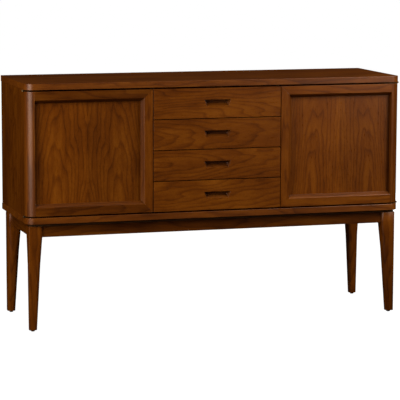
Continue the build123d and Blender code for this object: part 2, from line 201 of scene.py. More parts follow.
def block(name: str, low: Vector, high: Vector) -> Object:
    """Add a block between two corners.

    Args:
        name: The name of the new piece.
        low: Its lowest corner.
        high: Its highest corner.

    Returns:
        The new object, with its place in its mesh.
    """
    rest_bench()
    bpy.ops.mesh.primitive_cube_add(size=1, location=(low + high) / 2, scale=high - low)
    piece = bpy.context.object
    piece.name = name
    settle(piece)
    return piece


def rod(name: str, radius: float, low: Vector, length: float, sides: int = 32) -> Object:
    """Add an upright round rod that stands on a point.

    Args:
        name: The name of the new piece.
        radius: The rod's radius.
        low: The centre of its lower end.
        length: Its length.
        sides: How many flats make it round.

    Returns:
        The new object, with its place in its mesh.
    """
    rest_bench()
    place = low + Vector((0, 0, length / 2))
    bpy.ops.mesh.primitive_cylinder_add(vertices=sides, radius=radius, depth=length, location=place)
    piece = bpy.context.object
    piece.name = name
    settle(piece)
    return piece


def settle(piece: Object) -> None:
    """Put a piece's place, turn and size into its mesh."""
    take(piece)
    bpy.ops.object.transform_apply(location=True, rotation=True, scale=True)


def slice_off(piece: Object, point: Vector, outward: Vector) -> None:
    """Saw away what lies beyond a plane and close the cut.

    Args:
        piece: The piece to saw.
        point: A point on the plane.
        outward: The plane's normal, which points at what is taken away.
    """
    edit(piece, everything=True)
    bpy.ops.mesh.bisect(plane_co=point, plane_no=outward.normalized(), use_fill=True, clear_outer=True)
    rest_bench()


def apply_modifier(piece: Object, kind: str, **settings: object) -> None:
    """Add a modifier, set it and apply it.

    Args:
        piece: The piece that gets the modifier.
        kind: The modifier's type.
        **settings: The modifier's properties.
    """
    take(piece)
    modifier = piece.modifiers.new(kind.lower(), kind)
    for key, value in settings.items():
        setattr(modifier, key, value)
    bpy.ops.object.modifier_apply(modifier=modifier.name)


def carve(piece: Object, cutter: Object) -> None:
    """Cut one piece with another, a closed shape, and throw the cutter away."""
    apply_modifier(piece, "BOOLEAN", operation="DIFFERENCE", object=cutter, solver="EXACT")
    bpy.data.objects.remove(cutter)


def groove(piece: Object, low: Vector, high: Vector) -> None:
    """Plough a rectangular groove between a lowest and a highest corner."""
    carve(piece, block("groove_cutter", low, high))


def round_over(piece: Object, test: Callable[..., bool], width: float, segments: int) -> None:
    """Round the edges of a piece that pass a test.

    Args:
        piece: The piece to shape.
        test: Says of one edge whether it is rounded.
        width: How far each edge is rounded.
        segments: How many steps make the round.
    """
    edit(piece)
    pick(piece, Element.EDGE, test)
    bpy.ops.mesh.bevel(offset=width, segments=segments, affect="EDGES")
    rest_bench()


def face_outwards(piece: Object) -> None:
    """Turn every face of a piece outwards.

    Args:
        piece: The closed piece.
    """
    edit(piece, everything=True)
    bpy.ops.mesh.normals_make_consistent(inside=False)
    rest_bench()


def soften(piece: Object, width: float, segments: int = 2, angle: float = 30) -> None:
    """Round every sharp edge over and smooth the shading, as sanding does.

    Args:
        piece: The piece to sand.
        width: How far each edge is rounded.
        segments: How many steps make the round.
        angle: The least angle of an edge that is rounded, in degrees.
    """
    limit = math.radians(angle)
    apply_modifier(
        piece, "BEVEL", width=width, segments=segments, limit_method="ANGLE", angle_limit=limit,
        use_clamp_overlap=True, miter_outer="MITER_SHARP",
    )
    smooth(piece)


def smooth(piece: Object) -> None:
    """Shade a piece smooth, with its large faces kept flat.

    Args:
        piece: The piece to shade.
    """
    take(piece)
    bpy.ops.object.shade_smooth_by_angle(angle=SMOOTH_ANGLE)
    apply_modifier(piece, "WEIGHTED_NORMAL", keep_sharp=True, weight=60)


def copy_of(piece: Object, name: str) -> Object:
    """Copy a piece with its own mesh.

    Args:
        piece: The piece to copy.
        name: The copy's name.

    Returns:
        The copy.
    """
    twin = piece.copy()
    twin.data = piece.data.copy()
    twin.name = name
    bpy.context.collection.objects.link(twin)
    return twin


def mirrored(piece: Object, name: str, axis: int) -> Object:
    """Copy a piece and mirror the copy through the cabinet's middle.

    Args:
        piece: The piece to copy.
        name: The copy's name.
        axis: 0 mirrors left to right, 1 front to back.

    Returns:
        The mirrored copy, its faces turned out again.
    """
    twin = copy_of(piece, name)
    flip = [1.0, 1.0, 1.0]
    flip[axis] = -1.0
    twin.scale = flip
    settle(twin)
    face_outwards(twin)
    return twin


def joined(pieces: list[Object], name: str) -> Object:
    """Join loose pieces into one object.

    Args:
        pieces: The pieces to join.
        name: The name of the result.

    Returns:
        The joined object.
    """
    take(pieces[0])
    for piece in pieces[1:]:
        piece.select_set(True)
    if len(pieces) > 1:
        bpy.ops.object.join()
    whole = bpy.context.view_layer.objects.active
    whole.name = name
    return whole


def recut(node: str, name: str, width: float) -> Object:
    """Make a sanded piece from a copy of a frame node's own shape.

    Args:
        node: The frame node to copy.
        name: The new piece's name.
        width: How far its edges are rounded.

    Returns:
        The new piece.
    """
    piece = copy_of(frame["nodes"][node], name)
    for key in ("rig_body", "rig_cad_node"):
        del piece[key]
    piece.parent = None
    piece.data.materials.clear()
    edit(piece, everything=True)
    bpy.ops.mesh.remove_doubles(threshold=WELD)
    bpy.ops.mesh.dissolve_limited(angle_limit=FLAT_ANGLE)
    bpy.ops.mesh.customdata_custom_splitnormals_clear()
    rest_bench()
    soften(piece, width)
    return piece


def solids_of(node: str) -> list[tuple[Vector, Vector]]:
    """Find the separate solids of a frame node.

    Args:
        node: The node's name.

    Returns:
        The lowest and highest corner of each solid.
    """
    mesh = bmesh.new()
    mesh.from_mesh(frame["nodes"][node].data)
    bmesh.ops.remove_doubles(mesh, verts=mesh.verts, dist=WELD)
    left = set(mesh.verts)
    boxes = []
    while left:
        front, solid = [left.pop()], []
        while front:
            vertex = front.pop()
            solid.append(vertex.co.copy())
            linked = {edge.other_vert(vertex) for edge in vertex.link_edges} & left
            left -= linked
            front.extend(linked)
        low = Vector([min(point[axis] for point in solid) for axis in range(3)])
        high = Vector([max(point[axis] for point in solid) for axis in range(3)])
        boxes.append((low, high))
    mesh.free()
    return sorted(boxes, key=lambda box: tuple(round(value, 4) for value in box[0]))


# ---------------------------------------------------------------- finishes
@dataclass(frozen=True)
class Bump:
    """How much the relief of a surface shows."""

    strength: float
    height: float


class NodeSheet:
    """The nodes of a material or of the room, with short ways to add and join them."""

    def __init__(self, owner: Material | World) -> None:
        """Start with no nodes.

        Args:
            owner: What the nodes belong to.
        """
        self.owner = owner
        owner.use_nodes = True
        owner.node_tree.nodes.clear()

    def add(self, kind: str, inputs: dict | None = None, **settings: object) -> Node:
        """Add a node.

        Args:
            kind: The node's type without its ShaderNode prefix.
            inputs: A value or a socket for each named input.
            **settings: The node's own properties.

        Returns:
            The new node.
        """
        tree = self.owner.node_tree
        node = tree.nodes.new("ShaderNode" + kind)
        for key, value in settings.items():
            setattr(node, key, value)
        for key, value in (inputs or {}).items():
            if isinstance(value, NodeSocket):
                tree.links.new(value, node.inputs[key])
            else:
                node.inputs[key].default_value = value
        return node

    def place(self) -> NodeSocket:
        """Return the place of each point of the piece."""
        return self.add("TexCoord").outputs["Object"]

    def maths(self, operation: str, *values: object) -> NodeSocket:
        """Return the result of a Math node."""
        return self.add("Math", dict(enumerate(values)), operation=operation).outputs[0]

    def times(self, colour: NodeSocket, shade: NodeSocket) -> NodeSocket:
        """Return a colour multiplied by a shade."""
        return self.add("VectorMath", {0: colour, 1: shade}, operation="MULTIPLY").outputs[0]

    def fade(self, value: NodeSocket, start: float, end: float, first: float, last: float) -> NodeSocket:
        """Turn smoothly from a first number to a last one as a value rises from start to end."""
        inputs = {"Value": value, "From Min": start, "From Max": end, "To Min": first, "To Max": last}
        return self.add("MapRange", inputs, interpolation_type="SMOOTHSTEP").outputs["Result"]

    def stretched(self, place: NodeSocket, stretch: float) -> NodeSocket:
        """Draw a pattern out along Z, where it keeps this share of its fineness."""
        return self.add("Mapping", {"Vector": place, "Scale": (1, 1, stretch)}).outputs["Vector"]

    def uneven(self, pattern: NodeSocket, centre: float, spread: float) -> NodeSocket:
        """Let a number vary around its centre with a pattern that goes from 0 to 1."""
        return self.maths("MULTIPLY_ADD", pattern, spread, centre - spread / 2)

    def noise(self, place: NodeSocket, fineness: float, detail: float, stretch: float = 1.0) -> NodeSocket:
        """Draw noise, or streaks along Z.

        Args:
            place: The coordinates.
            fineness: How many blots or streaks there are in a metre, roughly.
            detail: How many finer layers they hold.
            stretch: The share of its fineness that the noise keeps along Z.

        Returns:
            The noise's brightness.
        """
        drawn_out = place if stretch == 1.0 else self.stretched(place, stretch)
        inputs = {"Vector": drawn_out, "Scale": fineness, "Detail": detail}
        return self.add("TexNoise", inputs).outputs["Fac"]

    def ramp(self, factor: NodeSocket, stops: Stops) -> NodeSocket:
        """Turn a factor into a colour or a grey.

        Args:
            factor: What the ramp reads.
            stops: Each stop's place, and its colour or brightness.

        Returns:
            The ramp's colour.
        """
        node = self.add("ValToRGB", {"Fac": factor})
        elements = node.color_ramp.elements
        while len(elements) < len(stops):
            elements.new(0.5)
        for element, (place, tone) in zip(elements, stops):
            element.position = place
            element.color = (*((tone,) * 3 if isinstance(tone, float) else tone), 1)
        return node.outputs["Color"]

    def coat(
        self, colour: NodeSocket, rough: NodeSocket, relief: NodeSocket, bump: Bump, **gloss: object
    ) -> Material:
        """Join the parts of a finish in one shader.

        Args:
            colour: The colour.
            rough: The roughness.
            relief: The height of the surface.
            bump: How much the height shows.
            **gloss: More of the shader's sockets, with _ for each space.

        Returns:
            The finished material.
        """
        inputs = {"Strength": bump.strength, "Distance": bump.height, "Height": relief}
        normal = self.add("Bump", inputs).outputs["Normal"]
        sockets = {"Base Color": colour, "Roughness": rough, "Normal": normal}
        sockets.update((key.replace("_", " "), value) for key, value in gloss.items())
        return self.finish(self.add("BsdfPrincipled", sockets).outputs["BSDF"])

    def finish(self, shader: NodeSocket) -> Material:
        """Join a shader to the material's surface, and return the material."""
        self.add("OutputMaterial", {"Surface": shader})
        return self.owner


@dataclass(frozen=True)
class Veneer:
    """Two leaves of veneer opened like a book, with a painted sheen that makes one leaf lighter than the other
    and a painted shadow that the frame casts along one edge.
    """

    seam_x: float
    frame_x: float
    # Painted sheen: one leaf lighter and one darker, for how the two leaves catch the light.
    leaf_shades: tuple[float, float] = (1.08, 0.94)
    seam_half: float = 0.5 * MM
    seam_shade: float = 0.72
    # Painted shadow that the outer frame casts on the recessed panel, darkest right beside the frame.
    stain_start: float = 12.6 * MM
    stain_reach: float = 21 * MM
    stain_shade: float = 0.66

    def matched(self, sheet: NodeSheet, place: NodeSocket) -> NodeSocket:
        """Measure X from the seam, the same both ways.

        Args:
            sheet: The material's nodes.
            place: The coordinates.

        Returns:
            The coordinates of the book-matched leaves.
        """
        parts = sheet.add("SeparateXYZ", {"Vector": place}).outputs
        leaf = sheet.maths("ABSOLUTE", sheet.maths("SUBTRACT", parts["X"], self.seam_x))
        return sheet.add("CombineXYZ", {"X": leaf, "Y": parts["Y"], "Z": parts["Z"]}).outputs["Vector"]

    def shading(self, sheet: NodeSheet, colour: NodeSocket) -> NodeSocket:
        """Paint the two leaves' sheen, darken the seam between them and paint the frame's shadow beside it.

        Args:
            sheet: The material's nodes.
            colour: The wood's colour.

        Returns:
            The shaded colour.
        """
        across = sheet.add("SeparateXYZ", {"Vector": sheet.place()}).outputs["X"]
        from_seam = sheet.maths("SUBTRACT", across, self.seam_x)
        second = sheet.maths("GREATER_THAN", from_seam, 0.0)
        first_leaf_sheen, second_leaf_sheen = self.leaf_shades
        leaf = sheet.maths("MULTIPLY_ADD", second, second_leaf_sheen - first_leaf_sheen, first_leaf_sheen)
        on_seam = sheet.maths("LESS_THAN", sheet.maths("ABSOLUTE", from_seam), self.seam_half)
        seam = sheet.maths("MULTIPLY_ADD", on_seam, self.seam_shade - 1, 1.0)
        # Painted shadow of the frame, fading out away from it.
        from_frame = sheet.maths("ABSOLUTE", sheet.maths("SUBTRACT", across, self.frame_x))
        painted_shade = sheet.fade(from_frame, self.stain_start, self.stain_reach, self.stain_shade, 1.0)
        return sheet.times(colour, sheet.maths("MULTIPLY", sheet.maths("MULTIPLY", leaf, seam), painted_shade))


@dataclass(frozen=True)
class Figure:
    """How a board was sawn from its log, and the way its fibres run.

    The pith is given in the board's own turned axes, across and through it, once its fibres lie along Z.
    A lean makes the rings run out of the face, which draws cathedral arches on it. Where the board has
    a face_y, what is cut back from that face gets painted shade, standing in for the shade in the recess.
    """

    pith: tuple[float, float] = (0.02, 0.09)
    lean: tuple[float, float] = (0.0, 0.05)
    ring: float = 13 * MM
    wander: float = 26.0
    shade: float = 1.0
    grain: Grain = Grain.ALONG_Z
    veneer: Veneer | None = None
    face_y: float | None = None
    # Painted shade in what is cut back from the face: how dark it gets, and over what depth it fades in.
    hollow_shade: float = 1.0
    hollow_start: float = 0.8 * MM
    hollow_full: float = 4 * MM

    def hollows(self, sheet: NodeSheet, colour: NodeSocket) -> NodeSocket:
        """Paint shade on what is cut back from the board's face, darker the deeper it lies.

        Args:
            sheet: The material's nodes.
            colour: The wood's colour.

        Returns:
            The shaded colour.
        """
        level = sheet.add("SeparateXYZ", {"Vector": sheet.place()}).outputs["Y"]
        depth = sheet.maths("SUBTRACT", level, self.face_y)
        painted_shade = sheet.fade(depth, self.hollow_start, self.hollow_full, 1.0, self.hollow_shade)
        return sheet.times(colour, painted_shade)


@dataclass(frozen=True)
class WoodFinish:
    """A lacquered wood, with growth rings, fibres and open pores."""

    name: str
    slot: str
    dark: Colour
    mid: Colour
    light: Colour
    roughness: float = 0.30
    rough_spread: float = 0.14
    coat: float = 0.0
    coat_roughness: float = 0.22
    specular: float = 0.58
    sheen_tint: Colour = (1.0, 0.74, 0.60)
    ring_share: float = 0.17
    streak_share: float = 0.30
    tone_share: float = 0.35
    fibre_share: float = 0.18
    tone_places: tuple[float, float, float] = (0.34, 0.52, 0.7)
    pore_depth: float = 0.35
    pore_relief: float = 0.7
    pore_stops: tuple[tuple[float, float], ...] = ((0.0, 1.0), (0.56, 1.0), (0.66, 0.0))
    ring_stops: tuple[tuple[float, float], ...] = (
        (0.0, 0.1), (0.12, 0.8), (0.6, 0.75), (0.88, 0.35), (0.96, 0.0), (1.0, 0.1),
    )
    ring_stretch: float = 0.22
    bump: Bump = Bump(0.12, 0.2 * MM)

    def material(self, name: str, centre: Vector, figure: Figure, draw: float) -> Material:
        """Make the material of one board.

        Args:
            name: The piece's name.
            centre: The middle of the piece.
            figure: How it was sawn.
            draw: Which stretch of the log it comes from, so that no two boards are alike.

        Returns:
            The board's own material.
        """
        sheet = NodeSheet(bpy.data.materials.new(f"{self.name}_{name}"))
        log = self._log_place(sheet, centre, figure, draw)
        fibre = sheet.noise(log, fineness=420.0, detail=3.0, stretch=0.02)
        pores = sheet.ramp(sheet.noise(log, fineness=1400.0, detail=1.0, stretch=0.045), self.pore_stops)
        parts = (
            (self._rings(sheet, log, figure), self.ring_share),
            (sheet.noise(log, fineness=45.0, detail=5.0, stretch=0.09), self.streak_share),
            (sheet.noise(log, fineness=9.0, detail=3.0, stretch=0.4), self.tone_share),
            (fibre, self.fibre_share),
        )
        depth = 0.0
        for part, share in parts:
            depth = sheet.maths("MULTIPLY_ADD", part, share, depth)
        tones = zip(self.tone_places, (self.dark, self.mid, self.light))
        shaded = [(place, tuple(figure.shade * part for part in tone)) for place, tone in tones]
        colour = sheet.ramp(depth, shaded)
        # Painted sheen on the leaves and painted shadow beside the frame.
        if figure.veneer:
            colour = figure.veneer.shading(sheet, colour)
        # Painted shade in the bevels and recesses behind the face.
        if figure.face_y is not None:
            colour = figure.hollows(sheet, colour)
        pore_shade = sheet.maths("MULTIPLY_ADD", pores, self.pore_depth, 1 - self.pore_depth)
        fibre_relief = sheet.maths("MULTIPLY", fibre, 1 - self.pore_relief)
        return sheet.coat(
            sheet.times(colour, pore_shade),
            sheet.uneven(fibre, self.roughness, self.rough_spread),
            sheet.maths("MULTIPLY_ADD", pores, self.pore_relief, fibre_relief),
            self.bump,
            Specular_IOR_Level=self.specular,
            Specular_Tint=(*self.sheen_tint, 1),
            Coat_Weight=self.coat,
            Coat_Roughness=self.coat_roughness,
        )

    @staticmethod
    def _log_place(sheet: NodeSheet, centre: Vector, figure: Figure, draw: float) -> NodeSocket:
        """Say where in the log each point of the board was, with the pith along Z.

        Args:
            sheet: The material's nodes.
            centre: The middle of the piece.
            figure: How it was sawn.
            draw: Which stretch of the log it comes from.

        Returns:
            The place in the log.
        """
        place = sheet.place()
        if figure.veneer:
            place = figure.veneer.matched(sheet, place)
            centre = Vector((0, centre.y, centre.z))
        turn = Euler((-figure.lean[1], figure.lean[0], 0)).to_matrix() @ figure.grain.turn()
        shift = Vector((*figure.pith, draw)) - turn @ centre
        log = sheet.add("Mapping", {"Vector": place, "Location": shift, "Rotation": turn.to_euler()})
        return log.outputs["Vector"]

    def _rings(self, sheet: NodeSheet, log: NodeSocket, figure: Figure) -> NodeSocket:
        """Draw the growth rings, each pale at first and dark at its late wood.

        Args:
            sheet: The material's nodes.
            log: The place in the log.
            figure: How the board was sawn.

        Returns:
            The rings' brightness.
        """
        fineness = 0.1 * math.pi / figure.ring
        rings = sheet.add(
            "TexWave",
            {"Vector": sheet.stretched(log, self.ring_stretch), "Scale": fineness,
             "Distortion": figure.wander, "Detail": 3.0, "Detail Scale": 9.0 / fineness,
             "Detail Roughness": 0.5},
            wave_type="RINGS", rings_direction="Z", wave_profile="SAW",
        )
        return sheet.ramp(rings.outputs["Fac"], self.ring_stops)


@dataclass(frozen=True)
class MetalFinish:
    """A plated or drawn metal with faint brushing and dull patches."""

    name: str
    slot: str
    colour: Colour
    worn: Colour
    roughness: float
    rough_spread: float = 0.2
    bump: Bump = Bump(0.08, 0.05 * MM)

    def material(self) -> Material:
        """Make the metal's material."""
        sheet = NodeSheet(bpy.data.materials.new(self.name))
        patches = sheet.noise(sheet.place(), fineness=90.0, detail=4.0)
        brushing = sheet.noise(sheet.place(), fineness=2600.0, detail=2.0, stretch=0.05)
        colour = sheet.ramp(patches, [(0.35, self.worn), (0.6, self.colour)])
        rough = sheet.uneven(brushing, self.roughness, self.rough_spread)
        return sheet.coat(colour, rough, brushing, self.bump, Metallic=1.0)


@dataclass(frozen=True)
class PlasticFinish:
    """A moulded plastic with a fine pebble and faint mottling."""

    name: str
    slot: str
    colour: Colour
    roughness: float
    rough_spread: float = 0.16
    dark_share: float = 0.8
    bump: Bump = Bump(0.15, 0.05 * MM)

    def material(self) -> Material:
        """Make the plastic's material."""
        sheet = NodeSheet(bpy.data.materials.new(self.name))
        mottle = sheet.noise(sheet.place(), fineness=160.0, detail=3.0)
        pebble = sheet.noise(sheet.place(), fineness=3500.0, detail=1.0)
        darker = tuple(self.dark_share * part for part in self.colour)
        colour = sheet.ramp(mottle, [(0.3, darker), (0.7, self.colour)])
        rough = sheet.uneven(mottle, self.roughness, self.rough_spread)
        return sheet.coat(colour, rough, pebble, self.bump)


Finish = WoodFinish | MetalFinish | PlasticFinish

WALNUT = WoodFinish(
    "walnut", "walnut",
    dark=(0.058, 0.0115, 0.0002), mid=(0.128, 0.0290, 0.0007), light=(0.215, 0.0580, 0.0024),
)
BOARD_WALNUT = replace(WALNUT, name="board_walnut", specular=0.8, roughness=0.34)
INSIDE_WALNUT = WoodFinish(
    "inside_walnut", "walnut_interior",
    dark=(0.055, 0.020, 0.0060), mid=(0.135, 0.052, 0.0160), light=(0.230, 0.098, 0.0340),
    roughness=0.52, specular=0.3,
)
BACK_PLY = WoodFinish(
    "back_ply", "walnut_interior",
    dark=(0.110, 0.048, 0.0170), mid=(0.205, 0.098, 0.0390), light=(0.300, 0.155, 0.0680),
    roughness=0.58, specular=0.25, ring_share=0.12,
)
MAPLE = WoodFinish(
    "maple", "drawer_maple",
    dark=(0.420, 0.260, 0.1250), mid=(0.560, 0.380, 0.2050), light=(0.660, 0.480, 0.2900),
    roughness=0.45, coat=0.05, ring_share=0.1, pore_depth=0.12,
)
BRASS = MetalFinish(
    "antique_brass", "hinge_brass", colour=(0.170, 0.100, 0.040), worn=(0.070, 0.040, 0.018), roughness=0.42,
)
STEEL = MetalFinish(
    "zinc_steel", "zinc_steel", colour=(0.560, 0.570, 0.580), worn=(0.380, 0.390, 0.400), roughness=0.36,
)
CATCH_PLASTIC = PlasticFinish("catch_plastic", "catch_plastic", colour=(0.075, 0.034, 0.016), roughness=0.42)
NYLON = PlasticFinish("glide_nylon", "glide_nylon", colour=(0.030, 0.026, 0.024), roughness=0.5)


@dataclass
class Workshop:
    """Dresses every piece, and fits the new ones to the bodies that carry them."""

    log_stretch: float = 1.7
    boards_cut: int = 0
    plain: dict[str, Material] = field(default_factory=dict)

    def dress(self, piece: Object, finish: Finish, figure: Figure = Figure()) -> None:
        """Put a finish on all of a piece, on a wooden one as a stretch of log that is its own.

        Args:
            piece: A new piece, or a frame node that stays.
            finish: Its finish.
            figure: How it was sawn, if it is wooden.
        """
        if isinstance(finish, WoodFinish):
            self.boards_cut += 1
            corners = [Vector(corner) for corner in piece.bound_box]
            centre = sum(corners, Vector()) / len(corners)
            material = finish.material(piece.name, centre, figure, self.log_stretch * self.boards_cut)
        else:
            if finish.name not in self.plain:
                self.plain[finish.name] = finish.material()
            material = self.plain[finish.name]
        if not piece.data.materials:
            piece.data.materials.append(material)
        for slot in piece.material_slots:
            slot.link = "OBJECT" if "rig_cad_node" in piece else "DATA"
            slot.material = material
        logger.info("%s: %d faces in %s", piece.name, len(piece.data.polygons), finish.name)

    def fit(self, piece: Object, body: str, finish: Finish, *nodes: str, figure: Figure = Figure()) -> None:
        """Dress a new piece and fit it to the body that carries it.

        Args:
            piece: The finished piece.
            body: The body that it rides on.
            finish: Its finish.
            *nodes: The frame nodes that it stands for.
            figure: How it was sawn, if it is wooden.
        """
        self.dress(piece, finish, figure)
        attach(piece, body)
        if nodes:
            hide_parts(*nodes)

    def stand_in(
        self, node: str, name: str, body: str, width: float, finish: Finish, figure: Figure = Figure()
    ) -> None:
        """Build a sanded piece from a frame node's shape, and fit it in the node's place.

        Args:
            node: The frame node.
            name: The new piece's name.
            body: The body that it rides on.
            width: How far its edges are rounded.
            finish: Its finish.
            figure: How it was sawn, if it is wooden.
        """
        self.fit(recut(node, name, width), body, finish, node, figure=figure)


@dataclass
class Case:
    """The boards, sides, dividers, shelves and back that make the cabinet's case."""

    shop: Workshop
    corner_radius: float = 35 * MM
    corner_steps: int = 20
    board_edge: float = 1.2 * MM
    panel_edge: float = 0.6 * MM
    pin_round: float = 0.25
    screw_round: float = 0.55
    screw_head: float = 1.4 * MM
    screw_shank: float = 1.6 * MM
    slot_size: tuple[float, float] = (1.7 * MM, 0.35 * MM)
    slot_floor: float = 0.5 * MM
    body: str = "cabinet"

    def build(self) -> None:
        """Build and dress every piece of the case."""
        self.board("top_board", Figure((0.03, 0.16), (0.02, 0.03), grain=Grain.ALONG_X))
        self.board("bottom_board", Figure((0.01, 0.12), (0.01, 0.04), grain=Grain.ALONG_X))
        for hand in Hand:
            for part, word, finish, figure in (
                ("side", "panel", WALNUT, Figure((0.11, 0.03), (0.1, 0.0), shade=0.84)),
                ("divider", "panel", INSIDE_WALNUT, Figure()),
                ("shelf", "board", INSIDE_WALNUT, Figure(grain=Grain.ALONG_X)),
            ):
                node = f"{hand.word}_{part}"
                self.shop.stand_in(node, f"{node}_{word}", self.body, self.panel_edge, finish, figure)
        self.shop.dress(frame["nodes"]["back_panel"], BACK_PLY, Figure((0.04, 0.1), grain=Grain.ALONG_X))
        self.shelf_pins()
        self.back_screws()

    def board(self, node: str, figure: Figure) -> None:
        """Build a top or bottom board with two rounded front corners.

        Args:
            node: The frame node that it stands for.
            figure: How the board was sawn.
        """
        low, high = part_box(node)
        piece = block(f"{node}_panel", low, high)
        round_over(
            piece, lambda edge: runs_along(edge, 2) and near(middle(edge).y, low.y),
            self.corner_radius, self.corner_steps,
        )
        edit(piece)
        pick(piece, Element.FACE, lambda face: looks_along(face, 2, 1) or looks_along(face, 2, -1))
        bpy.ops.mesh.region_to_loop()
        bpy.ops.mesh.bevel(offset=self.board_edge, segments=4, affect="EDGES")
        rest_bench()
        smooth(piece)
        self.shop.fit(piece, self.body, BOARD_WALNUT, node, figure=figure)

    def shelf_pins(self) -> None:
        """Build the shelf pins, rounded at both ends."""
        pins = []
        for low, high in solids_of("shelf_pins"):
            radius = (high.z - low.z) / 2
            pin = rod("shelf_pin", radius, Vector(), high.x - low.x, sides=24)
            round_over(pin, lambda edge: not runs_along(edge, 2), self.pin_round * radius, segments=3)
            pin.rotation_euler = (0, math.pi / 2, 0)
            pin.location = (low.x, (low.y + high.y) / 2, (low.z + high.z) / 2)
            settle(pin)
            pins.append(pin)
        piece = joined(pins, "brass_shelf_pins")
        smooth(piece)
        self.shop.fit(piece, self.body, BRASS, "shelf_pins")

    def back_screws(self) -> None:
        """Build the back's pan-head screws, each with a cross slot."""
        first_low, first_high = solids_of("back_screws")[0]
        radius = (first_high.z - first_low.z) / 2
        shank_length = first_high.y - first_low.y - self.screw_head
        head = rod("screw_head", radius, Vector(), self.screw_head)
        rim = self.screw_round * self.screw_head
        round_over(head, lambda edge: all(vertex.co.z > 0 for vertex in edge.verts), rim, segments=4)
        long, short = self.slot_size
        for reach in (Vector((long, short, 0)), Vector((short, long, 0))):
            groove(head, Vector((0, 0, self.slot_floor)) - reach, Vector((0, 0, 2 * self.screw_head)) + reach)
        shank = rod("screw_shank", self.screw_shank, Vector((0, 0, -shank_length)), shank_length, sides=16)
        pattern = joined([head, shank], "screw")
        screws = []
        for low, high in solids_of("back_screws"):
            screw = copy_of(pattern, "screw")
            screw.rotation_euler = (-math.pi / 2, 0, 0)
            screw.location = ((low.x + high.x) / 2, high.y - self.screw_head, (low.z + high.z) / 2)
            settle(screw)
            screws.append(screw)
        bpy.data.objects.remove(pattern)
        piece = joined(screws, "pan_head_screws")
        smooth(piece)
        self.shop.fit(piece, self.body, STEEL, "back_screws")


